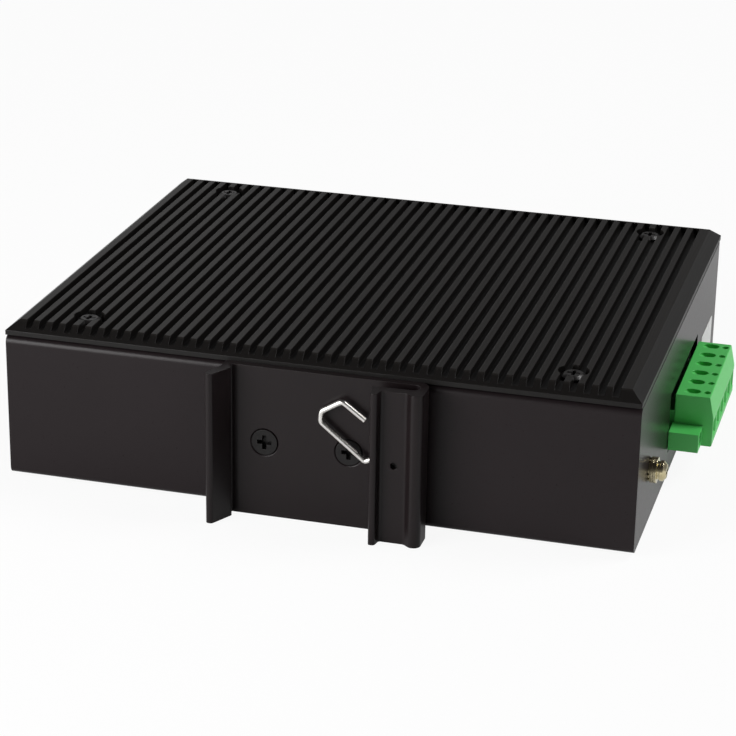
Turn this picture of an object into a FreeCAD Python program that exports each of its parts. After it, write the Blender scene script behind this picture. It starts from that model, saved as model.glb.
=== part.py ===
import FreeCAD, Part
import math
import os
from FreeCAD import Vector

# Rail-mounted industrial Ethernet switch, lying on its side with the finned cover up.
# +X: end panel with the terminal plug, -Y: rear wall with the rail bracket, +Y: port side.
# The origin is under the middle of the overall box. All lengths are in millimetres.

# ---- driving dimensions -------------------------------------------------------------
body_length = 142.0
body_depth = 116.0
wall_height = 33.1
sheet = 1.2
bend = 1.6
seam_flange = 5.0

cover_edge = 1.4
joint_gap = 0.35
joint_depth = 0.8
bevel_run = 2.6
bevel_rise = 2.1
groove_count = 44
groove_pitch = 3.05
first_groove = 5.1
groove_width = 1.6
groove_depth = 1.5

bracket_left = 49.3
bracket_reach = 9.5
bracket_drop = 1.2
bracket_height = 34.9
plate_thickness = 1.9

plug_reach = 9.2
plug_gap = 0.4
pole_count = 6
pole_pitch = 5.95
first_pole = 51.0

post_inset_x = 16.3
post_inset_y = 9.3
board_clearance = 3.0
board_thickness = 1.6

port_columns = 4
port_pitch = 13.97
port_width = 11.9
port_height = 6.9
port_depth = 14.0

# ---- places worked out from them ----------------------------------------------------
LEFT = -(body_length + plug_reach) / 2
RIGHT = LEFT + body_length
REAR = bracket_reach - (body_depth + bracket_reach) / 2
FRONT = REAR + body_depth
FLOOR = bracket_drop
SEAM = FLOOR + wall_height
CROWN = SEAM + cover_edge + bevel_rise
BOARD_BOTTOM = FLOOR + sheet + board_clearance
BOARD_TOP = BOARD_BOTTOM + board_thickness

X_AXIS = Vector(1, 0, 0)
Y_AXIS = Vector(0, 1, 0)
Z_AXIS = Vector(0, 0, 1)

post_places = [
    (x, y)
    for x in (LEFT + post_inset_x, RIGHT - post_inset_x)
    for y in (REAR + post_inset_y, FRONT - post_inset_y)
]
pole_places = [REAR + first_pole + number * pole_pitch for number in range(pole_count)]


# ---- small shape tools --------------------------------------------------------------
def block(x0, x1, y0, y1, z0, z1):
    """Rectangular block between two corners."""
    return Part.makeBox(x1 - x0, y1 - y0, z1 - z0, Vector(x0, y0, z0))


def rod(radius, length, start, direction):
    """Round bar from a start point along a direction."""
    return Part.makeCylinder(radius, length, start, direction)


def cone(radius_start, radius_end, length, start, direction):
    """Tapered round bar from a start point along a direction."""
    return Part.makeCone(radius_start, radius_end, length, start, direction)


def rounded_edges(corners, closed=True):
    """Straight edges joined by tangent arcs; each corner is (point, radius)."""
    count = len(corners)
    bends = []
    for index, (point, radius) in enumerate(corners):
        is_end = not closed and index in (0, count - 1)
        if is_end or radius == 0:
            bends.append((point, point, None))
            continue
        before = (corners[index - 1][0] - point).normalize()
        after = (corners[(index + 1) % count][0] - point).normalize()
        half_angle = before.getAngle(after) / 2
        setback = radius / math.tan(half_angle)
        inward = (before + after).normalize()
        middle = point + inward * (radius / math.sin(half_angle) - radius)
        bends.append((point + before * setback, point + after * setback, middle))
    edges = []
    for index, (start, end, middle) in enumerate(bends):
        if middle is not None:
            edges.append(Part.Arc(start, middle, end).toShape())
        if closed or index < count - 1:
            following = bends[(index + 1) % count][0]
            if (following - end).Length > 1e-6:
                edges.append(Part.LineSegment(end, following).toShape())
    return Part.Wire(edges)


def prism(corners, to_point, sweep):
    """Solid with a rounded outline; corners are (u, v, radius)."""
    wire = rounded_edges([(to_point(u, v), radius) for u, v, radius in corners])
    return Part.Face(wire).extrude(sweep)


def fuse_all(shapes):
    """One clean solid from overlapping or touching pieces."""
    first, *others = shapes
    return first.fuse(others).removeSplitter()


def cross_recess(centre, direction, width, depth):
    """Cross-shaped driver recess to cut from a screw head, opening along direction."""
    arm = width / 3.4
    if abs(direction.z) > 0.5:
        sizes = [(width, arm, depth), (arm, width, depth)]
    elif abs(direction.y) > 0.5:
        sizes = [(width, depth, arm), (arm, depth, width)]
    else:
        sizes = [(depth, width, arm), (depth, arm, width)]
    arms = []
    for sx, sy, sz in sizes:
        corner = centre - direction * (depth / 2) - Vector(sx, sy, sz) * 0.5
        arms.append(Part.makeBox(sx, sy, sz, corner))
    return arms[0].fuse(arms[1])


def hexagon_prism(width, height, x, y, z):
    """Upright hexagonal bar measured across its flats."""
    radius = width / math.sqrt(3)
    points = [
        Vector(x + radius * math.cos(turn), y + radius * math.sin(turn), z)
        for turn in [math.radians(60 * step) for step in range(6)]
    ]
    wire = Part.makePolygon(points + points[:1])
    return Part.Face(wire).extrude(Z_AXIS * height)


# ---- folded sheet-metal housing -----------------------------------------------------
terminal_cutout = (REAR + 43.0, REAR + 83.6, FLOOR + 5.8, FLOOR + 20.0)
ear_screw_places = [REAR + 44.9, REAR + 86.1]
ear_screw_level = FLOOR + 9.15
ground_place = (REAR + 16.0, FLOOR + 13.2)
bracket_screw_places = [(LEFT + 60.7, FLOOR + 16.2), (LEFT + 79.7, FLOOR + 16.2)]
bracket_screw_radius = 1.5
ground_screw_radius = 1.5
base_screw_radius = 1.5
countersink_radius = 2.95
countersink_depth = 1.1
shell_screw_places = [
    (x, y)
    for x in (LEFT + 5.2, RIGHT - 5.2)
    for y in (REAR + 36.0, FRONT - 32.0)
]

jack_width = port_columns * port_pitch + 1.2
jack_height = 25.4
jack_depth = 21.5
jack_left = LEFT + body_length / 2 - jack_width / 2
jack_bottom = BOARD_TOP
jack_front = FRONT - 0.3

status_light_places = [LEFT + 38.0 - number * 4.8 for number in range(4)]
status_light_level = FLOOR + 21.0
status_light_radius = 1.5


def rear_and_base_shell():
    """Rear wall and base folded from one sheet, with a narrow top flange."""
    outline = [
        (FRONT, FLOOR, 0),
        (REAR, FLOOR, bend),
        (REAR, SEAM, bend),
        (REAR + seam_flange, SEAM, 0),
        (REAR + seam_flange, SEAM - sheet, 0),
        (REAR + sheet, SEAM - sheet, bend - sheet),
        (REAR + sheet, FLOOR + sheet, bend - sheet),
        (FRONT, FLOOR + sheet, 0),
    ]
    shell = prism(outline, lambda y, z: Vector(LEFT, y, z), X_AXIS * body_length)
    cuts = []
    for x in (LEFT, RIGHT - sheet):
        # the end panels stand in these notches, behind the rear wall
        cuts.append(block(x, x + sheet, REAR + sheet, FRONT, FLOOR + sheet, SEAM + 1))
    for x, z in bracket_screw_places:
        cuts.append(rod(bracket_screw_radius + 0.1, sheet + 2, Vector(x, REAR - 1, z), Y_AXIS))
    for x, y in post_places + shell_screw_places:
        start = Vector(x, y, FLOOR)
        cuts.append(cone(countersink_radius + 0.05, base_screw_radius + 0.1, sheet, start, Z_AXIS))
    return shell.cut(cuts)


def front_shell():
    """Port panel and both end panels folded from one sheet into a U."""
    bottom = FLOOR + sheet
    height = SEAM - bottom
    back = REAR + sheet
    outline = [
        (LEFT, back, 0),
        (LEFT + sheet, back, 0),
        (LEFT + sheet, FRONT - sheet, bend - sheet),
        (RIGHT - sheet, FRONT - sheet, bend - sheet),
        (RIGHT - sheet, back, 0),
        (RIGHT, back, 0),
        (RIGHT, FRONT, bend),
        (LEFT, FRONT, bend),
    ]
    walls = prism(outline, lambda x, y: Vector(x, y, bottom), Z_AXIS * height)
    flanges = []
    reach = seam_flange - sheet
    flange_back = REAR + seam_flange + 0.6
    for side in (LEFT + sheet, RIGHT - sheet - reach):
        flanges.append(block(side, side + reach, flange_back, FRONT - sheet, SEAM - sheet, SEAM))
        # tabs under the end panels take the screws that come up through the base
        for _, y in shell_screw_places[:2]:
            start = side if side < 0 else RIGHT - sheet - 8.0
            flanges.append(block(start, start + 8.0, y - 6, y + 6, bottom, bottom + sheet))
    flanges.append(block(LEFT + sheet, RIGHT - sheet, FRONT - seam_flange, FRONT - sheet, SEAM - sheet, SEAM))
    shell = fuse_all([walls] + flanges)
    y0, y1, z0, z1 = terminal_cutout
    cuts = [
        block(RIGHT - 2 * sheet, RIGHT + 1, y0, y1, z0, z1),
        block(jack_left - 0.3, jack_left + jack_width + 0.3, FRONT - seam_flange - 1, FRONT + 1,
              jack_bottom - 0.3, jack_bottom + jack_height + 0.3),
        rod(ground_screw_radius + 0.1, sheet + 2, Vector(RIGHT - sheet - 1, *ground_place), X_AXIS),
    ]
    for y in ear_screw_places:
        cuts.append(rod(1.7, sheet + 2, Vector(RIGHT - sheet - 1, y, ear_screw_level), X_AXIS))
    for x in status_light_places:
        start = Vector(x, FRONT - sheet - 1, status_light_level)
        cuts.append(rod(status_light_radius + 0.1, sheet + 2, start, Y_AXIS))
    for x, y in shell_screw_places:
        cuts.append(rod(base_screw_radius + 0.1, 4, Vector(x, y, bottom - 1), Z_AXIS))
    return shell.cut(cuts)


def clinch_nut(place, direction, bore):
    """Round clinch nut pressed against the inside of a sheet wall."""
    nut = rod(2.8, 2.2, place, direction)
    return nut.cut(rod(bore, 4, place - direction, direction))


def bracket_nuts():
    """Two clinch nuts behind the rear wall for the bracket screws."""
    return [
        clinch_nut(Vector(x, REAR + sheet, z), Y_AXIS, bracket_screw_radius)
        for x, z in bracket_screw_places
    ]


def shell_nuts():
    """Four clinch nuts on the tabs that join the two shells."""
    level = FLOOR + 2 * sheet
    return [
        clinch_nut(Vector(x, y, level), Z_AXIS, base_screw_radius)
        for x, y in shell_screw_places
    ]


def countersunk_screw(place, direction, length):
    """Flat-head screw; place is the middle of its head, direction points outwards."""
    neck = place - direction * countersink_depth
    head = cone(base_screw_radius, countersink_radius, countersink_depth, neck, direction)
    shank = rod(base_screw_radius - 0.05, length, place - direction * length, direction)
    screw = fuse_all([head, shank])
    return screw.cut(cross_recess(place, direction, 3.2, 1.6))


def base_screws():
    """Screws from below that hold the board posts."""
    return [countersunk_screw(Vector(x, y, FLOOR), -Z_AXIS, 3.9) for x, y in post_places]


def shell_screws():
    """Screws from below that join base and U-shaped shell."""
    return [countersunk_screw(Vector(x, y, FLOOR), -Z_AXIS, 4.4) for x, y in shell_screw_places]


# ---- finned cover -------------------------------------------------------------------
counterbore_radius = 3.4
counterbore_depth = 2.2
cover_screw_radius = 1.5
spreader = (LEFT + 56.0, LEFT + 86.0, REAR + 44.0, REAR + 74.0)
chip_height = 2.4
pad_thickness = 1.0


def rectangle(x0, x1, y0, y1, z):
    """Level rectangular wire."""
    return Part.makePolygon([
        Vector(x0, y0, z),
        Vector(x1, y0, z),
        Vector(x1, y1, z),
        Vector(x0, y1, z),
        Vector(x0, y0, z),
    ])


def groove(x):
    """Slot between two fins, open over the rear bevel and blind at the port side's bevel."""
    half = groove_width / 2
    base = CROWN - groove_depth
    outline = [
        (x - half - 0.15, CROWN + 1, 0),
        (x - half + 0.15, base, 0),
        (x + half - 0.15, base, 0),
        (x + half + 0.15, CROWN + 1, 0),
    ]
    start = REAR - 1
    return prism(outline, lambda u, v: Vector(u, start, v), Y_AXIS * (FRONT - bevel_run - start))


def heat_sink_cover():
    """Cast cover: bevelled all round, with fins that run out over the rear bevel.

    Its foot is set back a little, which leaves a narrow joint line over the housing.
    """
    inset = joint_depth
    foot = block(LEFT + inset, RIGHT - inset, REAR + inset, FRONT - inset, SEAM, SEAM + joint_gap)
    rim = block(LEFT, RIGHT, REAR, FRONT, SEAM + joint_gap, SEAM + cover_edge)
    bevel = Part.makeLoft([
        rectangle(LEFT, RIGHT, REAR, FRONT, SEAM + cover_edge),
        rectangle(LEFT + bevel_run, RIGHT - bevel_run, REAR + bevel_run, FRONT - bevel_run, CROWN),
    ], True, True)
    cover = fuse_all([foot, rim, bevel])
    grooves = [groove(LEFT + first_groove + number * groove_pitch) for number in range(groove_count)]
    cover = cover.cut(grooves)
    cuts = []
    for x, y in post_places:
        cuts.append(rod(counterbore_radius, 5, Vector(x, y, CROWN - counterbore_depth), Z_AXIS))
        cuts.append(rod(cover_screw_radius + 0.1, 9, Vector(x, y, SEAM - 1), Z_AXIS))
    return cover.cut(cuts)


def heat_spreader():
    """Ribbed aluminium block that carries the chip's heat up to the cover."""
    x0, x1, y0, y1 = spreader
    chip_top = BOARD_TOP + chip_height + pad_thickness
    body = block(x0, x1, y0, y1, chip_top, SEAM)
    ribs = []
    for number in range(5):
        x = x0 + 3.5 + number * 5.5
        ribs.append(block(x, x + 2.0, y0 - 1, y1 + 1, chip_top + 5.0, SEAM - 4.0))
    return body.cut(ribs)


def cover_screws():
    """Pan-head screws sunk between the fins."""
    screws = []
    seat = CROWN - counterbore_depth
    for x, y in post_places:
        head = rod(2.75, 1.1, Vector(x, y, seat), Z_AXIS)
        dome = cone(2.75, 1.9, 0.6, Vector(x, y, seat + 1.1), Z_AXIS)
        shank = rod(cover_screw_radius - 0.05, 7.0, Vector(x, y, seat - 7.0), Z_AXIS)
        screw = fuse_all([head, dome, shank])
        screws.append(screw.cut(cross_recess(Vector(x, y, seat + 1.7), Z_AXIS, 2.8, 1.9)))
    return screws


def cover_posts():
    """Hexagonal posts between circuit board and cover."""
    posts = []
    for x, y in post_places:
        post = hexagon_prism(5.5, SEAM - BOARD_TOP, x, y, BOARD_TOP)
        posts.append(post.cut(rod(cover_screw_radius, 7.5, Vector(x, y, SEAM - 7.5), Z_AXIS)))
    return posts


def board_spacers():
    """Hexagonal spacers between base and circuit board."""
    spacers = []
    for x, y in post_places:
        spacer = hexagon_prism(5.5, board_clearance, x, y, FLOOR + sheet)
        spacers.append(spacer.cut(rod(base_screw_radius, 5, Vector(x, y, FLOOR), Z_AXIS)))
    return spacers


# ---- rail bracket -------------------------------------------------------------------
def from_bracket(x, y):
    """Point of the bracket's section, from the left end and the rear wall outwards."""
    return Vector(LEFT + x, REAR - y, 0)


pin_place = (91.1, FLOOR + 16.8)
pin_radius = 0.8


def din_bracket():
    """Extruded rail clip: a flat plate, a hook on the left and a folded slot on the right."""
    outline = [
        (51.6, 0.0, 0.8),
        (97.3, 0.0, 3.0),
        (97.3, 8.1, 1.5),
        (95.2, 8.4, 1.2),
        (93.6, 7.1, 1.2),
        (88.1, 7.1, 0.6),
        (87.7, 9.5, 0.65),
        (86.3, 9.5, 0.65),
        (85.7, 5.2, 0.6),
        (95.6, 4.9, 1.3),
        (95.6, plate_thickness, 1.3),
        (53.0, plate_thickness, 0.3),
        (53.9, 4.0, 0.6),
        (51.1, 9.5, 0.85),
        (bracket_left, 9.3, 0.8),
        (51.6, 3.6, 1.2),
    ]
    section = prism(outline, from_bracket, Z_AXIS * bracket_height)
    cuts = []
    for x, z in bracket_screw_places:
        face = Vector(x, REAR - plate_thickness, z)
        cuts.append(cone(countersink_radius + 0.35, bracket_screw_radius, 1.5, face, Y_AXIS))
        cuts.append(rod(bracket_screw_radius, 4, face, Y_AXIS))
    x, z = pin_place
    cuts.append(rod(pin_radius, bracket_reach, Vector(LEFT + x, REAR - bracket_reach, z), Y_AXIS))
    return section.cut(cuts)


def bracket_screws():
    """Two flat-head screws that hold the bracket to the rear wall."""
    return [
        countersunk_screw(Vector(x, REAR - plate_thickness, z), -Y_AXIS, 5.2)
        for x, z in bracket_screw_places
    ]


def spring_pin():
    """Pin across the bracket's slot that the wire spring hooks round."""
    x, z = pin_place
    return rod(pin_radius, 5.6, Vector(LEFT + x, REAR - 5.7, z), Y_AXIS)


def din_spring():
    """Bent wire spring in the bracket's slot, its loop standing out over the plate."""
    wire_radius = 0.6
    wire_level = REAR - 3.5
    pin_x, pin_z = pin_place
    around_pin = pin_radius + wire_radius + 0.1
    route = [
        (83.7, FLOOR + 24.9, 0),
        (78.6, FLOOR + 28.6, 1.1),
        (74.0, FLOOR + 25.8, 1.2),
        (73.8, FLOOR + 23.4, 1.2),
        (83.8, FLOOR + 15.4, 0.8),
        (pin_x + 0.3, pin_z + around_pin + 0.7, 1.2),
        (pin_x + around_pin + 0.6, pin_z - 0.2, 1.0),
        (pin_x + 0.6, pin_z - 2.8, 0),
    ]
    corners = [(Vector(LEFT + x, wire_level, z), radius) for x, z, radius in route]
    path = rounded_edges(corners, closed=False)
    start = corners[0][0]
    direction = corners[1][0] - start
    section = Part.Wire([Part.makeCircle(wire_radius, start, direction)])
    return path.makePipeShell([section], True, True)


# ---- ground terminal on the end panel -----------------------------------------------
def ring(outer, inner, start, thickness):
    """Flat washer standing on the end panel, at a distance from it."""
    y, z = ground_place
    place = Vector(RIGHT + start, y, z)
    return rod(outer, thickness, place, X_AXIS).cut(rod(inner, thickness, place, X_AXIS))


def ground_toothed_washer():
    """Washer with teeth round its rim that bite through the end panel's paint."""
    y, z = ground_place
    washer = ring(2.6, 1.7, 0.0, 0.4)
    gaps = []
    for number in range(12):
        gap = block(RIGHT - 1, RIGHT + 2, y + 2.1, y + 3.0, z - 0.28, z + 0.28)
        gap.rotate(Vector(RIGHT, y, z), X_AXIS, number * 30)
        gaps.append(gap)
    return washer.cut(gaps)


def ground_flat_washers():
    """Two plain washers that clamp the earth lead's lug."""
    return [ring(2.85, 1.7, 0.42, 0.63), ring(2.85, 1.7, 1.1, 0.7)]


def ground_lock_washer():
    """Split spring washer under the screw's head."""
    y, z = ground_place
    washer = ring(2.0, 1.6, 1.8, 0.6)
    return washer.cut(block(RIGHT, RIGHT + 4, y - 0.3, y + 0.3, z, z + 4))


def ground_screw():
    """Pan-head screw in the end panel, over its washers."""
    y, z = ground_place
    under_head = Vector(RIGHT + 2.4, y, z)
    head = rod(2.25, 0.7, under_head, X_AXIS)
    dome = cone(2.25, 1.5, 0.7, under_head + X_AXIS * 0.7, X_AXIS)
    shank = rod(ground_screw_radius - 0.05, 8.0, under_head - X_AXIS * 8.0, X_AXIS)
    screw = fuse_all([head, dome, shank])
    return screw.cut(cross_recess(under_head + X_AXIS * 1.4, X_AXIS, 2.6, 1.6))


def ground_nut():
    """Clinch nut behind the end panel."""
    return clinch_nut(Vector(RIGHT - sheet, *ground_place), -X_AXIS, ground_screw_radius)


# ---- terminal plug and its header ---------------------------------------------------
plug_back = RIGHT + plug_gap
plug_front = RIGHT + plug_reach
plug_near = REAR + 47.9
plug_far = REAR + 83.1
plug_bottom = FLOOR + 6.5
plug_top = FLOOR + 18.3
ear_reach = 6.0
ear_back = RIGHT + 0.1
ear_front = RIGHT + 6.9
ear_bottom = FLOOR + 7.1
ear_top = FLOOR + 11.4
tongue_length = 8.4
tongue_bottom = FLOOR + 7.4
tongue_top = FLOOR + 14.0
contact_level = FLOOR + 10.6
screw_line = RIGHT + 4.3
screw_hole_radius = 1.3
test_hole_line = RIGHT + 7.05
test_hole_radius = 0.8
well_left = RIGHT + 1.8
well_depth = 1.6
header_back = RIGHT - 12.6
cage_bottom = FLOOR + 7.9
cage_top = FLOOR + 12.6


def screw_well(y):
    """Oval well over one clamp screw; its floor slopes down towards the screw."""
    right = screw_line + screw_hole_radius
    half = screw_hole_radius
    oval = prism([
        (well_left, y - half, half - 0.01),
        (right, y - half, half - 0.01),
        (right, y + half, half - 0.01),
        (well_left, y + half, half - 0.01),
    ], lambda u, v: Vector(u, v, plug_top - well_depth), Z_AXIS * (well_depth + 1))
    slope = prism([
        (well_left - 0.5, plug_top + 1, 0),
        (well_left - 0.5, plug_top, 0),
        (screw_line, plug_top - well_depth, 0),
        (right + 1, plug_top - well_depth, 0),
        (right + 1, plug_top + 1, 0),
    ], lambda u, v: Vector(u, y - half - 1, v), Y_AXIS * (2 * half + 2))
    return oval.common(slope)


def wire_funnel(y):
    """Tapered mouth of one wire entry in the plug's front face."""
    level = (cage_bottom + cage_top) / 2
    mouths = []
    for x, half_width, half_height in ((plug_front, 2.4, 2.1), (plug_front - 1.3, 1.6, 1.3)):
        corners = [(-1, -1), (1, -1), (1, 1), (-1, 1), (-1, -1)]
        mouths.append(Part.makePolygon([
            Vector(x, y + side * half_width, level + lift * half_height)
            for side, lift in corners
        ]))
    return Part.makeLoft(mouths, True, True)


def terminal_plug():
    """Moulded plug body: sloped front, oval screw wells, test holes, wire funnels and ears."""
    outline = [
        (plug_back, plug_bottom, 0),
        (plug_front, plug_bottom, 0.4),
        (plug_front, plug_bottom + 7.0, 0.8),
        (plug_front - 1.0, plug_top, 0.3),
        (plug_back, plug_top, 0),
    ]
    body = prism(outline, lambda x, z: Vector(x, plug_near, z), Y_AXIS * (plug_far - plug_near))
    tongue = block(plug_back - tongue_length, plug_back + 0.5, plug_near + 0.9, plug_far - 0.9,
                   tongue_bottom, tongue_top)
    ears = [
        block(ear_back, ear_front, near, near + ear_reach + 0.5, ear_bottom, ear_top)
        for near in (plug_near - ear_reach, plug_far - 0.5)
    ]
    plug = fuse_all([body, tongue] + ears)
    cuts = []
    for y in pole_places:
        cuts.append(screw_well(y))
        cuts.append(rod(screw_hole_radius, 8, Vector(screw_line, y, cage_top), Z_AXIS))
        cuts.append(rod(test_hole_radius, 5, Vector(test_hole_line, y, plug_top - 4), Z_AXIS))
        cuts.append(wire_funnel(y))
        # room for the wire clamp, the wire entry in front of it and the contact behind it
        cuts.append(block(screw_line - 2.0, screw_line + 2.0, y - 2.2, y + 2.2, cage_bottom, cage_top))
        cuts.append(block(screw_line, plug_front - 1, y - 1.6, y + 1.6, cage_bottom + 1.05, cage_top - 1.05))
        cuts.append(block(plug_back - tongue_length - 1, screw_line, y - 1.3, y + 1.3,
                          contact_level - 1.3, contact_level + 1.3))
    for y in ear_screw_places:
        cuts.append(rod(1.3, 12, Vector(ear_back - 1, y, ear_screw_level), X_AXIS))
        cuts.append(rod(1.9, 3, Vector(ear_front - 1.9, y, ear_screw_level), X_AXIS))
    return plug.cut(cuts)


def plug_clamp_screws():
    """Slotted clamping screws, one per pole."""
    screws = []
    for y in pole_places:
        head = rod(1.25, 1.4, Vector(screw_line, y, plug_top - 5.4), Z_AXIS)
        shank = rod(0.9, 3.2, Vector(screw_line, y, plug_top - 8.6), Z_AXIS)
        slot = block(screw_line - 2, screw_line + 2, y - 0.25, y + 0.25, plug_top - 4.7, plug_top)
        screws.append(fuse_all([head, shank]).cut(slot))
    return screws


def plug_wire_clamps():
    """Rectangular clamp cages that each screw draws up on its wire."""
    cages = []
    for y in pole_places:
        cage = block(screw_line - 1.9, screw_line + 1.9, y - 2.1, y + 2.1, cage_bottom + 0.1, cage_top - 0.1)
        opening = block(screw_line - 3, screw_line + 3, y - 1.5, y + 1.5, cage_bottom + 0.9, cage_top - 1.0)
        bore = rod(0.95, 3, Vector(screw_line, y, cage_top - 1.2), Z_AXIS)
        cages.append(cage.cut([opening, bore]))
    return cages


def plug_contacts():
    """Fork contacts in the plug's tongue that grip the header's pins."""
    contacts = []
    for y in pole_places:
        start = plug_back - tongue_length + 0.4
        end = screw_line - 2.2
        sleeve = block(start, end, y - 1.15, y + 1.15, contact_level - 1.15, contact_level + 1.15)
        bore = block(start - 1, end + 1, y - 0.65, y + 0.65, contact_level - 0.65, contact_level + 0.65)
        slit = block(start - 1, start + 5, y - 0.2, y + 0.2, contact_level, contact_level + 2)
        contacts.append(sleeve.cut([bore, slit]))
    return contacts


def plug_flange_screws():
    """Captive screws in the ears that lock the plug to its header."""
    screws = []
    level = ear_screw_level
    for y in ear_screw_places:
        head_place = Vector(ear_front - 1.8, y, level)
        head = rod(1.75, 1.5, head_place, X_AXIS)
        shank = rod(1.2, 10.5, head_place - X_AXIS * 10.5, X_AXIS)
        slot = block(ear_front - 0.9, ear_front + 1, y - 2, y + 2, level - 0.25, level + 0.25)
        screws.append(fuse_all([head, shank]).cut(slot))
    return screws


def terminal_header():
    """Header soldered to the board: an open trough with an ear nut at each end."""
    front = RIGHT - sheet - 0.2
    outer = block(header_back, front, plug_near - ear_reach, plug_far + ear_reach,
                  BOARD_TOP, tongue_top + 1.1)
    trough = block(header_back + 1.6, front + 1, plug_near + 0.6, plug_far - 0.6,
                   tongue_bottom - 0.3, tongue_top + 0.3)
    cuts = [trough]
    for y in pole_places:
        cuts.append(block(header_back - 1, header_back + 2, y - 0.5, y + 0.5,
                          contact_level - 0.5, contact_level + 0.5))
    for y in ear_screw_places:
        cuts.append(rod(1.55, 9, Vector(front - 8, y, ear_screw_level), X_AXIS))
    return outer.cut(cuts)


def header_pins():
    """Square right-angle pins: through the trough's back wall and down into the board."""
    pins = []
    for y in pole_places:
        corners = [
            (header_back - 1.6, BOARD_BOTTOM - 1.2, 0),
            (header_back - 0.6, BOARD_BOTTOM - 1.2, 0),
            (header_back - 0.6, contact_level - 0.5, 0),
            (RIGHT - 3.6, contact_level - 0.5, 0),
            (RIGHT - 3.6, contact_level + 0.5, 0),
            (header_back - 1.6, contact_level + 0.5, 0.6),
        ]
        pins.append(prism(corners, lambda x, z: Vector(x, y - 0.5, z), Y_AXIS))
    return pins


# ---- circuit board and what it carries ----------------------------------------------
def circuit_board():
    """Board on the spacers, with holes for screws and header pins."""
    board = block(LEFT + 3, RIGHT - 3, REAR + 4, FRONT - 3, BOARD_BOTTOM, BOARD_TOP)
    cuts = [
        rod(1.6, 4, Vector(x, y, BOARD_BOTTOM - 1), Z_AXIS)
        for x, y in post_places
    ]
    for y in pole_places:
        cuts.append(rod(0.8, 4, Vector(header_back - 1.1, y, BOARD_BOTTOM - 1), Z_AXIS))
    for x, y in shell_screw_places:
        side = x + math.copysign(4, x)
        low, high = sorted((x - math.copysign(3.4, x), side))
        cuts.append(block(low, high, y - 3.6, y + 3.6, BOARD_BOTTOM - 1, BOARD_TOP + 1))
    return board.cut(cuts)


def on_board(x, y, width, depth, height):
    """Component body standing on the board, by its middle and its size."""
    return block(LEFT + x - width / 2, LEFT + x + width / 2, REAR + y - depth / 2, REAR + y + depth / 2,
                 BOARD_TOP, BOARD_TOP + height)


def switch_chip():
    """Main switching chip under the heat spreader."""
    return on_board(71, 59, 24, 24, chip_height)


def thermal_pad():
    """Soft pad that fills the gap between chip and heat spreader."""
    x0, x1, y0, y1 = spreader
    bottom = BOARD_TOP + chip_height
    return block(x0 + 4, x1 - 4, y0 + 4, y1 - 4, bottom, bottom + pad_thickness)


def support_chips():
    """Memory, controller and regulator chips."""
    places = [(40, 52, 8, 10, 1.6), (40, 70, 9, 9, 1.2), (98, 30, 6.5, 10, 2.3), (98, 60, 7, 7, 1.0)]
    return [on_board(*place) for place in places]


def line_transformers():
    """Isolating transformers between the chip and the ports, one per pair of ports."""
    middle = body_length / 2
    return [on_board(middle + offset, 86, 12.5, 10, 5.2) for offset in (-25.5, -8.5, 8.5, 25.5)]


def power_capacitors():
    """Round electrolytic capacitors of the two power inputs."""
    places = [(112, 22), (112, 34), (122, 30)]
    return [rod(4.0, 11.5, Vector(LEFT + x, REAR + y, BOARD_TOP), Z_AXIS) for x, y in places]


def power_inductors():
    """Square shielded inductors of the converter."""
    return [on_board(84, 22, 12, 12, 7.5), on_board(68, 22, 12, 12, 7.5)]


def alarm_relay():
    """Relay of the alarm output beside the terminal header."""
    return on_board(117, 62, 15.0, 10.2, 11.5)


def clock_crystal():
    """Metal can of the clock crystal."""
    low = LEFT + 55
    outline = [
        (low, REAR + 34, 2.0),
        (low + 11.2, REAR + 34, 2.0),
        (low + 11.2, REAR + 38.6, 2.0),
        (low, REAR + 38.6, 2.0),
    ]
    return prism(outline, lambda x, y: Vector(x, y, BOARD_TOP), Z_AXIS * 3.6)


# ---- port block ---------------------------------------------------------------------
port_rows = (3.4, jack_height - 3.4 - port_height)
shield_skin = 0.3


def port_corner(column, row):
    """Lower left corner of one port's opening."""
    margin = (port_pitch - port_width) / 2
    x = jack_left + 0.6 + column * port_pitch + margin
    return x, jack_bottom + port_rows[row]


def all_ports():
    """Every port as (column, row)."""
    return [(column, row) for column in range(port_columns) for row in range(2)]


def port_space(column, row, depth):
    """Space of one port with the stepped notch for the plug's latch."""
    x, z = port_corner(column, row)
    back = jack_front - depth
    main = block(x, x + port_width, back, jack_front + 1, z, z + port_height)
    middle = x + port_width / 2
    latch_low = z - 1.7 if row == 0 else z + port_height - 0.1
    latch = block(middle - 3.1, middle + 3.1, back, jack_front + 1, latch_low, latch_low + 1.8)
    return main.fuse(latch)


def jack_housing():
    """Moulded body of the eight stacked ports."""
    body = block(jack_left + shield_skin, jack_left + jack_width - shield_skin,
                 jack_front - jack_depth + shield_skin, jack_front - shield_skin,
                 jack_bottom, jack_bottom + jack_height - shield_skin)
    return body.cut([port_space(column, row, port_depth) for column, row in all_ports()])


def jack_shield():
    """Folded metal shield round the port block, open below and at each port."""
    outer = block(jack_left, jack_left + jack_width, jack_front - jack_depth, jack_front,
                  jack_bottom, jack_bottom + jack_height)
    inner = block(jack_left + shield_skin, jack_left + jack_width - shield_skin,
                  jack_front - jack_depth + shield_skin, jack_front - shield_skin,
                  jack_bottom - 1, jack_bottom + jack_height - shield_skin)
    cuts = [inner]
    cuts += [port_space(column, row, 2) for column, row in all_ports()]
    return outer.cut(cuts)


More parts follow.
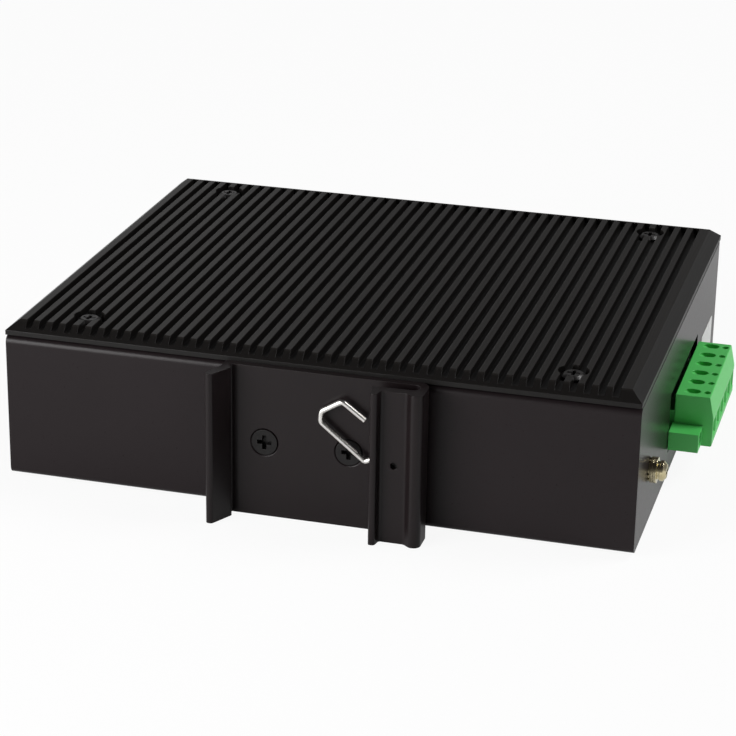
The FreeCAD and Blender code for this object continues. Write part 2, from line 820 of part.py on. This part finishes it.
def jack_contacts():
    """Eight sprung contact wires in each port, sloping in from the middle of the block."""
    wires = []
    pitch = 1.02
    for column, row in all_ports():
        x, z = port_corner(column, row)
        wall = z + port_height if row == 0 else z
        inward = -1 if row == 0 else 1
        for number in range(8):
            middle = x + port_width / 2 + (number - 3.5) * pitch
            outline = [
                (jack_front - 3.0, wall, 0),
                (jack_front - 3.6, wall, 0),
                (jack_front - 11.6, wall + inward * 1.5, 0),
                (jack_front - 11.2, wall + inward * 1.8, 0),
            ]
            wires.append(prism(outline, lambda y, v: Vector(middle - 0.2, y, v), X_AXIS * 0.4))
    return wires


def status_lights():
    """Four round indicator lights beside the ports."""
    lights = []
    for x in status_light_places:
        start = Vector(x, FRONT - 5.0, status_light_level)
        barrel = rod(status_light_radius, 4.2, start, Y_AXIS)
        dome = Part.makeSphere(status_light_radius, start + Y_AXIS * 4.2, Y_AXIS, 0, 90, 360)
        lights.append(fuse_all([barrel, dome]).common(block(x - 3, x + 3, FRONT - 6, FRONT - 0.1, 0, SEAM)))
    return lights


def light_holder():
    """Holder that stands on the board and carries the indicator lights."""
    first = status_light_places[-1] - 2.2
    last = status_light_places[0] + 2.2
    holder = block(first, last, FRONT - 9.0, FRONT - 4.6, BOARD_TOP, status_light_level + 2.4)
    cuts = [
        rod(status_light_radius, 3, Vector(x, FRONT - 5.0, status_light_level), Y_AXIS)
        for x in status_light_places
    ]
    return holder.cut(cuts)


# ---- write one file per node --------------------------------------------------------
nodes = [
    rear_and_base_shell,
    front_shell,
    heat_sink_cover,
    heat_spreader,
    cover_screws,
    cover_posts,
    board_spacers,
    base_screws,
    shell_screws,
    shell_nuts,
    din_bracket,
    bracket_screws,
    bracket_nuts,
    din_spring,
    spring_pin,
    ground_screw,
    ground_lock_washer,
    ground_flat_washers,
    ground_toothed_washer,
    ground_nut,
    terminal_plug,
    plug_clamp_screws,
    plug_wire_clamps,
    plug_contacts,
    plug_flange_screws,
    terminal_header,
    header_pins,
    circuit_board,
    switch_chip,
    thermal_pad,
    support_chips,
    line_transformers,
    power_capacitors,
    power_inductors,
    alarm_relay,
    clock_crystal,
    jack_housing,
    jack_shield,
    jack_contacts,
    status_lights,
    light_holder,
]

os.makedirs("parts", exist_ok=True)
for make in nodes:
    shape = make()
    if isinstance(shape, list):
        shape = Part.makeCompound(shape)
    shape.exportStep("parts/" + make.__name__ + ".step")
    print(make.__name__, len(shape.Solids), round(shape.Volume, 1), shape.isValid())
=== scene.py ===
import math

import bpy
import numpy as np
from mathutils import Matrix, Vector


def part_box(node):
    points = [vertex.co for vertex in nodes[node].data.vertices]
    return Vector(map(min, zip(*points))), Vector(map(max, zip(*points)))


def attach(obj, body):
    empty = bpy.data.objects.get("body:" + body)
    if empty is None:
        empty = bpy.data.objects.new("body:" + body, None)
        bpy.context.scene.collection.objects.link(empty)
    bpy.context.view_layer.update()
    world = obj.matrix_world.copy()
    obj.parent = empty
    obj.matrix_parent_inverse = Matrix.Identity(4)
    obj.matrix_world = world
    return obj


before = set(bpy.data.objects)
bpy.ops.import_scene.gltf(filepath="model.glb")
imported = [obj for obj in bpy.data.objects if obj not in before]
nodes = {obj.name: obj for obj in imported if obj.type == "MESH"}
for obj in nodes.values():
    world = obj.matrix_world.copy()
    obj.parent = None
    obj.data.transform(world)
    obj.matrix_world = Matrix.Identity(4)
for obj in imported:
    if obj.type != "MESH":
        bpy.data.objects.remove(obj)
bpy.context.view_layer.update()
scene = bpy.context.scene

# ---- camera -------------------------------------------------------------------------
# A long lens looks down at the rear wall, a little from the side of the end panel,
# so that rail bracket, finned cover and terminal plug all show.
wall_low, wall_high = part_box("rear_and_base_shell")
half_depth, half_height = 0.0582, 0.0164
focus = Vector((
    (wall_low.x + wall_high.x) / 2,
    wall_low.y + half_depth,
    wall_low.z + half_height,
))
azimuth, elevation, roll = (math.radians(a) for a in (15.88, 21.414, 0.708))
back = Vector((
    math.sin(azimuth) * math.cos(elevation),
    -math.cos(azimuth) * math.cos(elevation),
    math.sin(elevation),
))
level_right = Vector((math.cos(azimuth), math.sin(azimuth), 0))
level_up = back.cross(level_right)
right = level_right * math.cos(roll) + level_up * math.sin(roll)
up = level_up * math.cos(roll) - level_right * math.sin(roll)
distance = 0.583147
sideways, downwards = 0.009915, 0.003011
eye = focus + back * distance - right * sideways - up * downwards

camera_data = bpy.data.cameras.new("camera")
camera = bpy.data.objects.new("camera", camera_data)
scene.collection.objects.link(camera)
camera.matrix_world = Matrix((
    (right.x, up.x, back.x, eye.x),
    (right.y, up.y, back.y, eye.y),
    (right.z, up.z, back.z, eye.z),
    (0, 0, 0, 1),
))
camera_data.sensor_width = 36.0
camera_data.lens = 120.09
camera_data.shift_x = 0.0364
camera_data.shift_y = -0.0051
camera_data.clip_start = 0.01
camera_data.clip_end = 20.0
scene.camera = camera
scene.view_settings.view_transform = "Standard"


# ---- floor, surroundings and lamps --------------------------------------------------
# A flat pale table under plain soft light, in a room with bright walls and a dark
# ceiling: a wide lamp high on the plug's side, a smaller one low in front at the left
# and a weak one low behind it, which the fins' tops reflect.
class Value:
    """What a shader node puts out, so that a finish can be written as arithmetic."""

    def __init__(self, finish, socket):
        self.finish = finish
        self.socket = socket

    def math(self, operation, a, b=0.0, clamp=False):
        """One Math node on two values or numbers."""
        settings = {"operation": operation, "use_clamp": clamp}
        return self.finish.node("ShaderNodeMath", settings, {0: a, 1: b})

    def __add__(self, other):
        return self.math("ADD", self, other)

    __radd__ = __add__

    def __mul__(self, other):
        return self.math("MULTIPLY", self, other)

    __rmul__ = __mul__

    def __sub__(self, other):
        return self.math("SUBTRACT", self, other)

    def clamped(self):
        """The value held between 0 and 1."""
        return self.math("ADD", self, 0.0, clamp=True)

    def step(self, low, high):
        """0 below low, 1 above high, straight between."""
        return ((self - low) * (1.0 / (high - low))).clamped()


class Finish:
    """A material: its Principled shader and the nodes that feed it."""

    def __init__(self, name, **constants):
        self.material = bpy.data.materials.new(name)
        self.material.use_nodes = True
        self.tree = self.material.node_tree
        self.shader = self.tree.nodes["Principled BSDF"]
        for socket, value in constants.items():
            self.shader.inputs[socket.replace("_", " ")].default_value = value

    def node(self, kind, settings=None, inputs=None, out=0):
        """Any shader node: its settings first, then values or links for its sockets."""
        made = self.tree.nodes.new(kind)
        for key, value in (settings or {}).items():
            setattr(made, key, value)
        for key, value in (inputs or {}).items():
            if isinstance(value, Value):
                self.tree.links.new(value.socket, made.inputs[key])
            else:
                made.inputs[key].default_value = value
        return Value(self, made.outputs[out])

    def coordinates(self):
        """The object's own coordinates, in metres."""
        return self.node("ShaderNodeTexCoord", out=3)

    def noise(self, size, detail=2.0, rough=0.5, stretch=(1, 1, 1)):
        """Noise with features of about size metres, longer where stretch is above 1."""
        scale = tuple(1.0 / (size * factor) for factor in stretch)
        mapping = {"Vector": self.coordinates(), "Scale": scale}
        vector = self.node("ShaderNodeMapping", inputs=mapping)
        inputs = {"Vector": vector, "Scale": 1.0, "Detail": detail, "Roughness": rough}
        return self.node("ShaderNodeTexNoise", inputs=inputs)

    def axis(self, index):
        """One of the object's own coordinates, in metres."""
        return self.node("ShaderNodeSeparateXYZ", inputs={0: self.coordinates()}, out=index)

    def mix(self, share, first, second):
        """Colour between first and second."""
        inputs = {0: share}
        for key, colour in ((6, first), (7, second)):
            inputs[key] = colour if isinstance(colour, Value) else (*colour, 1.0)
        return self.node("ShaderNodeMix", {"data_type": "RGBA"}, inputs, out=2)

    def bump(self, height, strength, distance, edge=0.0):
        """Relief from a height value, over edges softened by a small radius."""
        inputs = {"Height": height, "Strength": strength, "Distance": distance}
        if edge:
            inputs["Normal"] = self.node("ShaderNodeBevel", {"samples": 6}, {"Radius": edge})
        return self.node("ShaderNodeBump", inputs=inputs)

    def feed(self, **links):
        """Links values to the Principled shader's sockets."""
        for socket, value in links.items():
            self.tree.links.new(value.socket, self.shader.inputs[socket.replace("_", " ")])

    def wear(self, *names):
        """Puts this finish on CAD nodes."""
        for name in names:
            data = nodes[name].data
            data.materials.clear()
            data.materials.append(self.material)


def disc(name, radius, rings, spokes):
    """Flat round sheet at height 0: radius times the cosine and sine of the turn."""
    turn = np.linspace(0, 2 * math.pi, spokes, endpoint=False)
    reach = radius * np.linspace(0, 1, rings + 1)[1:]
    x = (reach[:, None] * np.cos(turn)[None, :]).ravel()
    y = (reach[:, None] * np.sin(turn)[None, :]).ravel()
    points = np.stack([x, y, np.zeros_like(x)], -1)
    index = np.arange(rings * spokes).reshape(rings, spokes)
    after = np.roll(index, -1, axis=1)
    quads = np.stack([index[:-1], index[1:], after[1:], after[:-1]], -1).reshape(-1, 4)
    mesh = bpy.data.meshes.new(name)
    mesh.from_pydata(points.tolist(), [], quads.tolist() + [index[0].tolist()])
    made = bpy.data.objects.new(name, mesh)
    scene.collection.objects.link(made)
    return made


floor = disc("floor", 9.0, 6, 48)
paper = Finish("pale_table", Roughness=0.9, Specular_IOR_Level=0.1)
paper_grain = paper.noise(0.004, detail=4.0)
paper.feed(Base_Color=paper.mix(paper_grain, (0.79, 0.79, 0.79), (0.81, 0.81, 0.81)))
paper_path = paper.tree.nodes.new("ShaderNodeLightPath")
seen_by_camera = Value(paper, paper_path.outputs["Is Camera Ray"])
seen_in_gloss = Value(paper, paper_path.outputs["Is Glossy Ray"])
seen_through = Value(paper, paper_path.outputs["Is Transmission Ray"])
white = paper.tree.nodes.new("ShaderNodeEmission")
blend = paper.tree.nodes.new("ShaderNodeMixShader")
white_to_camera = 0.92  # the paper shows almost white, and keeps a little shadow
white_in_gloss = 0.35
share = seen_by_camera * white_to_camera + (seen_in_gloss + seen_through) * white_in_gloss
paper.tree.links.new(share.socket, blend.inputs[0])
paper.tree.links.new(paper.shader.outputs[0], blend.inputs[1])
paper.tree.links.new(white.outputs[0], blend.inputs[2])
paper.tree.links.new(blend.outputs[0], paper.tree.nodes["Material Output"].inputs["Surface"])
floor.data.materials.append(paper.material)

world = bpy.data.worlds.new("room")
scene.world = world
world.use_nodes = True
sky = world.node_tree
sky_background = sky.nodes["Background"]
sky_background.inputs["Color"].default_value = (1, 1, 1, 1)
sky_path = sky.nodes.new("ShaderNodeLightPath")
sky_direction = sky.nodes.new("ShaderNodeTexCoord")
sky_parts = sky.nodes.new("ShaderNodeSeparateXYZ")
sky_ramp = sky.nodes.new("ShaderNodeValToRGB")
sky_choice = sky.nodes.new("ShaderNodeMix")
sky.links.new(sky_direction.outputs["Generated"], sky_parts.inputs[0])
sky.links.new(sky_parts.outputs["Z"], sky_ramp.inputs["Fac"])
room_levels = [(0.0, 0.50), (0.18, 0.26), (0.36, 0.17), (0.60, 0.06), (1.0, 0.02)]
ramp = sky_ramp.color_ramp.elements
while len(ramp) < len(room_levels):
    ramp.new(0.5)
for element, (height, level) in zip(ramp, room_levels):
    element.position = height
    element.color = (level, level, level, 1.0)
sky.links.new(sky_path.outputs["Is Camera Ray"], sky_choice.inputs["Factor"])
sky.links.new(sky_ramp.outputs["Color"], sky_choice.inputs[2])
sky_choice.inputs[3].default_value = 1.0
sky.links.new(sky_choice.outputs[0], sky_background.inputs["Strength"])


def lamp(name, place, aim, size, power):
    """Square soft lamp pointed at a spot."""
    data = bpy.data.lights.new(name, "AREA")
    data.shape = "SQUARE"
    data.size = size
    data.energy = power
    made = bpy.data.objects.new(name, data)
    scene.collection.objects.link(made)
    made.location = place
    made.rotation_euler = (Vector(aim) - Vector(place)).to_track_quat("-Z", "Y").to_euler()


lamp("right_lamp", (1.15, 0.45, 1.35), (0, 0, 0), 0.8, 23.0)
lamp("left_lamp", (-0.45, -0.55, 0.22), (-0.07, -0.06, 0.015), 0.50, 7.6)
lamp("back_lamp", (-0.37, 0.50, 0.24), (-0.05, 0, 0.03), 0.38, 0.15)


# ---- folded housing -----------------------------------------------------------------
# Two folded steel sheets, the rear wall with the base and the U of end panels and port
# panel, sprayed with charcoal powder that dries to a fine even grain.
charcoal = Finish("charcoal_powder_coat", Specular_IOR_Level=0.17)
charcoal_grain = charcoal.noise(0.00045, detail=3.0, rough=0.6)
charcoal_cloud = charcoal.noise(0.03, detail=3.0)
charcoal_tone = charcoal.mix(charcoal_cloud, (0.0090, 0.0064, 0.0070), (0.0118, 0.0086, 0.0094))
charcoal.feed(
    Base_Color=charcoal_tone,
    Roughness=0.25 + 0.08 * charcoal_grain,
    Normal=charcoal.bump(charcoal_grain, 0.3, 0.00003, edge=0.00025),
)
charcoal.wear("rear_and_base_shell", "front_shell")


# ---- finned cover -------------------------------------------------------------------
# Aluminium cover, milled into fins and black anodised. Cutter lines run along the fins.
# The fins' flat tops are coloured lighter as a painted highlight, and their sides and the
# groove floors darker as painted shade.
fin_black = Finish("black_anodised_fins", Specular_IOR_Level=0.2)
fin_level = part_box("heat_sink_cover")[1].z
fin_height = fin_black.axis(2)
top_band, top_skin = 0.0004, 0.00005
# painted highlight on the fins' flat tops; everything below this top band keeps the darker tone,
# which is painted shade
painted_fin_top_highlight = fin_height.step(fin_level - top_band, fin_level - top_skin)
cutter_lines = fin_black.noise(0.0003, detail=3.0, stretch=(1, 60, 1))
fin_cloud = fin_black.noise(0.02, detail=3.0)
fin_tone_with_painted_light = fin_black.mix(painted_fin_top_highlight, (0.0040, 0.0034, 0.0031), (0.0100, 0.0088, 0.0081))
fin_tone_with_painted_light = fin_black.mix(fin_cloud * 0.3, fin_tone_with_painted_light, (0.0070, 0.0062, 0.0058))
fin_black.feed(
    Base_Color=fin_tone_with_painted_light,
    Roughness=0.34 + 0.10 * cutter_lines,
    Normal=fin_black.bump(cutter_lines, 0.25, 0.00004, edge=0.00018),
)
fin_black.wear("heat_sink_cover")


# ---- rail bracket -------------------------------------------------------------------
# One extruded aluminium section, sawn to length and anodised black; the die leaves fine
# lines along its length.
bracket_black = Finish("black_anodised_bracket", Specular_IOR_Level=0.22)
die_lines = bracket_black.noise(0.0003, detail=3.0, stretch=(1, 1, 80))
bracket_cloud = bracket_black.noise(0.012, detail=3.0)
bracket_black.feed(
    Base_Color=bracket_black.mix(bracket_cloud, (0.0056, 0.0034, 0.0038), (0.0078, 0.0050, 0.0054)),
    Roughness=0.28 + 0.10 * die_lines,
    Normal=bracket_black.bump(die_lines, 0.25, 0.00004, edge=0.0002),
)
bracket_black.wear("din_bracket")


# ---- black screws -------------------------------------------------------------------
# Steel screws with black zinc, smooth and slightly shiny, and two duller ones in the
# bracket that are blackened by oxide.
screw_black = Finish("black_zinc_screws", Metallic=0.2)
screw_grain = screw_black.noise(0.0006, detail=4.0)
screw_black.feed(
    Base_Color=screw_black.mix(screw_grain, (0.006, 0.005, 0.005), (0.022, 0.020, 0.020)),
    Roughness=0.26 + 0.16 * screw_grain,
    Normal=screw_black.bump(screw_grain, 0.2, 0.00003, edge=0.00015),
)
screw_black.wear("cover_screws", "base_screws", "shell_screws", "spring_pin")

oxide = Finish("black_oxide_screws", Specular_IOR_Level=0.2)
oxide_cloud = oxide.noise(0.0008, detail=4.0)
oxide.feed(
    Base_Color=oxide.mix(oxide_cloud, (0.003, 0.0026, 0.0026), (0.010, 0.009, 0.009)),
    Roughness=0.30 + 0.16 * oxide_cloud,
    Normal=oxide.bump(oxide_cloud, 0.2, 0.00003, edge=0.00015),
)
oxide.wear("bracket_screws")


# ---- wire spring --------------------------------------------------------------------
# Hard-drawn spring wire, bent cold and left bright.
bright_wire = Finish("bright_spring_wire", Metallic=1.0)
wire_grain = bright_wire.noise(0.0004, detail=3.0, stretch=(3, 1, 3))
bright_wire.feed(
    Base_Color=bright_wire.mix(wire_grain, (0.62, 0.60, 0.57), (0.80, 0.78, 0.75)),
    Roughness=0.22 + 0.14 * wire_grain,
    Normal=bright_wire.bump(wire_grain, 0.2, 0.00003),
)
bright_wire.wear("din_spring")


# ---- ground terminal ----------------------------------------------------------------
# Screw and washers for the earth lead, steel with yellow zinc that varies in tint.
yellow_zinc = Finish("yellow_zinc", Metallic=1.0)
zinc_tint = yellow_zinc.noise(0.0015, detail=3.0)
zinc_grain = yellow_zinc.noise(0.0003, detail=2.0)
yellow_zinc.feed(
    Base_Color=yellow_zinc.mix(zinc_tint, (0.50, 0.42, 0.20), (0.80, 0.74, 0.54)),
    Roughness=0.14 + 0.08 * zinc_grain,
    Normal=yellow_zinc.bump(zinc_grain, 0.2, 0.00003, edge=0.00012),
)
yellow_zinc.wear("ground_screw", "ground_lock_washer", "ground_flat_washers", "ground_toothed_washer")


# ---- bright hardware inside and in the plug -----------------------------------------
# Posts, spacers, clinch nuts, clamp screws and cages, all bright zinc.
bright_zinc = Finish("bright_zinc", Metallic=1.0)
bright_grain = bright_zinc.noise(0.0006, detail=4.0)
bright_zinc.feed(
    Base_Color=bright_zinc.mix(bright_grain, (0.46, 0.47, 0.48), (0.66, 0.67, 0.68)),
    Roughness=0.30 + 0.18 * bright_grain,
    Normal=bright_zinc.bump(bright_grain, 0.2, 0.00003),
)
bright_zinc.wear(
    "cover_posts", "board_spacers", "shell_nuts", "bracket_nuts", "ground_nut",
    "plug_clamp_screws", "plug_wire_clamps", "plug_flange_screws", "clock_crystal",
)


# ---- bare label ---------------------------------------------------------------------
# A small white film label stuck on the end panel beyond the plug. It carries nothing:
# matt film with a faint mottle, its cut edge rounded at the corners.
def rounded_sheet(name, centre, width, height, corner, thick, steps=8):
    """Thin upright sheet in the YZ plane: quarter circles at four corners, two skins."""
    turn = np.linspace(0, math.pi / 2, steps)
    quarters = np.concatenate([turn + quarter * math.pi / 2 for quarter in range(4)])
    side_y = np.repeat([1, -1, -1, 1], steps) * (width / 2 - corner)
    side_z = np.repeat([1, 1, -1, -1], steps) * (height / 2 - corner)
    y = centre.y + side_y + corner * np.cos(quarters)
    z = centre.z + side_z + corner * np.sin(quarters)
    count = len(y)
    skins = [np.stack([np.full(count, centre.x + depth), y, z], -1) for depth in (0.0, thick)]
    index = np.arange(count)
    after = np.roll(index, -1)
    rim = np.stack([index, after, after + count, index + count], -1)
    faces = rim.tolist() + [index[::-1].tolist(), (index + count).tolist()]
    mesh = bpy.data.meshes.new(name)
    mesh.from_pydata(np.concatenate(skins).tolist(), [], faces)
    made = bpy.data.objects.new(name, mesh)
    scene.collection.objects.link(made)
    return made


from_rear, above_base = 0.0996, 0.0101
label = rounded_sheet(
    "bare_label",
    centre=Vector((wall_high.x, wall_low.y + from_rear, wall_low.z + above_base)),
    width=0.0175,
    height=0.0122,
    corner=0.001,
    thick=0.00012,
)
film = Finish("white_label_film")
film_mottle = film.noise(0.0008, detail=3.0)
film.feed(
    Base_Color=film.mix(film_mottle, (0.70, 0.70, 0.69), (0.78, 0.78, 0.77)),
    Roughness=0.45 + 0.15 * film_mottle,
    Normal=film.bump(film_mottle, 0.15, 0.00002),
)
label.data.materials.append(film.material)
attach(label, "switch")


# ---- terminal plug ------------------------------------------------------------------
# Green moulded polyamide: a satin skin with a very fine spark-eroded texture and small
# flow marks.
plug_green = Finish("green_polyamide", IOR=1.5)
plug_cloud = plug_green.noise(0.006, detail=3.0)
plug_texture = plug_green.noise(0.00025, detail=2.0)
plug_green.feed(
    Base_Color=plug_green.mix(plug_cloud, (0.088, 0.610, 0.125), (0.108, 0.670, 0.145)),
    Roughness=0.34 + 0.10 * plug_texture,
    Normal=plug_green.bump(plug_texture, 0.25, 0.00004, edge=0.00022),
)
plug_green.wear("terminal_plug")


# ---- contacts -----------------------------------------------------------------------
# Stamped contacts: tinned brass in the plug and header, gold flash in the ports.
tinned = Finish("tinned_contacts", Metallic=1.0)
tin_grain = tinned.noise(0.0005, detail=3.0)
tinned.feed(
    Base_Color=tinned.mix(tin_grain, (0.55, 0.52, 0.45), (0.72, 0.70, 0.64)),
    Roughness=0.28 + 0.15 * tin_grain,
)
tinned.wear("plug_contacts", "header_pins")

gold = Finish("gold_contacts", Metallic=1.0)
gold_grain = gold.noise(0.0005, detail=3.0)
gold.feed(
    Base_Color=gold.mix(gold_grain, (0.74, 0.52, 0.20), (0.88, 0.68, 0.32)),
    Roughness=0.22 + 0.12 * gold_grain,
)
gold.wear("jack_contacts")


# ---- network ports ------------------------------------------------------------------
# A moulded black block of stacked ports inside a folded tin-plated shield, with clear
# lenses beside it. The header behind the plug is given the same black as painted shade,
# so that the gap between the plug and the end panel shows dark.
port_black = Finish("port_moulding", IOR=1.5)
port_grain = port_black.noise(0.0003, detail=2.0)
port_black.feed(
    Base_Color=port_black.mix(port_grain, (0.012, 0.012, 0.012), (0.020, 0.020, 0.020)),
    Roughness=0.38 + 0.12 * port_grain,
    Normal=port_black.bump(port_grain, 0.2, 0.00003, edge=0.00012),
)
# the terminal header's black is painted shade for the gap beside the plug
port_black.wear("jack_housing", "light_holder", "terminal_header")

shield_tin = Finish("shield_tin_plate", Metallic=1.0)
shield_lines = shield_tin.noise(0.0002, detail=3.0, stretch=(40, 1, 1))
shield_cloud = shield_tin.noise(0.01, detail=2.0)
shield_tin.feed(
    Base_Color=shield_tin.mix(shield_cloud, (0.58, 0.58, 0.57), (0.70, 0.70, 0.69)),
    Roughness=0.26 + 0.16 * shield_lines,
    Normal=shield_tin.bump(shield_lines, 0.15, 0.00002),
)
shield_tin.wear("jack_shield")

lens = Finish("indicator_lens", IOR=1.49, Transmission_Weight=0.35)
lens_cloud = lens.noise(0.001, detail=2.0)
lens.feed(
    Base_Color=lens.mix(lens_cloud, (0.42, 0.62, 0.40), (0.58, 0.76, 0.55)),
    Roughness=0.16 + 0.10 * lens_cloud,
)
lens.wear("status_lights")


# ---- circuit board and its components -----------------------------------------------
# Glass-fibre board under green solder resist, with moulded chips, sleeved capacitors,
# a pale relay, and a soft grey pad between the main chip and the bare heat spreader.
resist = Finish("solder_resist", IOR=1.5)
resist_weave = resist.noise(0.0012, detail=3.0, stretch=(4, 1, 1))
resist_cloud = resist.noise(0.015, detail=2.0)
resist.feed(
    Base_Color=resist.mix(resist_cloud, (0.010, 0.085, 0.030), (0.016, 0.120, 0.045)),
    Roughness=0.30 + 0.12 * resist_weave,
    Normal=resist.bump(resist_weave, 0.2, 0.00003),
)
resist.wear("circuit_board")

moulded = Finish("chip_moulding", IOR=1.5)
moulded_grain = moulded.noise(0.0003, detail=2.0)
moulded.feed(
    Base_Color=moulded.mix(moulded_grain, (0.014, 0.014, 0.015), (0.028, 0.028, 0.030)),
    Roughness=0.50 + 0.15 * moulded_grain,
    Normal=moulded.bump(moulded_grain, 0.2, 0.00003),
)
moulded.wear("switch_chip", "support_chips", "line_transformers", "power_inductors")

sleeve = Finish("capacitor_sleeve", IOR=1.5)
sleeve_cloud = sleeve.noise(0.004, detail=2.0)
sleeve.feed(
    Base_Color=sleeve.mix(sleeve_cloud, (0.012, 0.013, 0.030), (0.020, 0.022, 0.045)),
    Roughness=0.22 + 0.10 * sleeve_cloud,
)
sleeve.wear("power_capacitors")

relay_shell = Finish("relay_moulding", IOR=1.5)
relay_cloud = relay_shell.noise(0.003, detail=2.0)
relay_shell.feed(
    Base_Color=relay_shell.mix(relay_cloud, (0.58, 0.58, 0.55), (0.66, 0.66, 0.63)),
    Roughness=0.30 + 0.10 * relay_cloud,
)
relay_shell.wear("alarm_relay")

soft_pad = Finish("thermal_pad", IOR=1.45)
pad_cloud = soft_pad.noise(0.002, detail=3.0)
soft_pad.feed(
    Base_Color=soft_pad.mix(pad_cloud, (0.16, 0.20, 0.26), (0.22, 0.27, 0.33)),
    Roughness=0.60 + 0.15 * pad_cloud,
)
soft_pad.wear("thermal_pad")

bare_aluminium = Finish("bare_aluminium", Metallic=1.0)
milled_lines = bare_aluminium.noise(0.0003, detail=3.0, stretch=(60, 1, 1))
bare_aluminium.feed(
    Base_Color=bare_aluminium.mix(milled_lines, (0.60, 0.61, 0.62), (0.76, 0.77, 0.78)),
    Roughness=0.28 + 0.16 * milled_lines,
)
bare_aluminium.wear("heat_spreader")
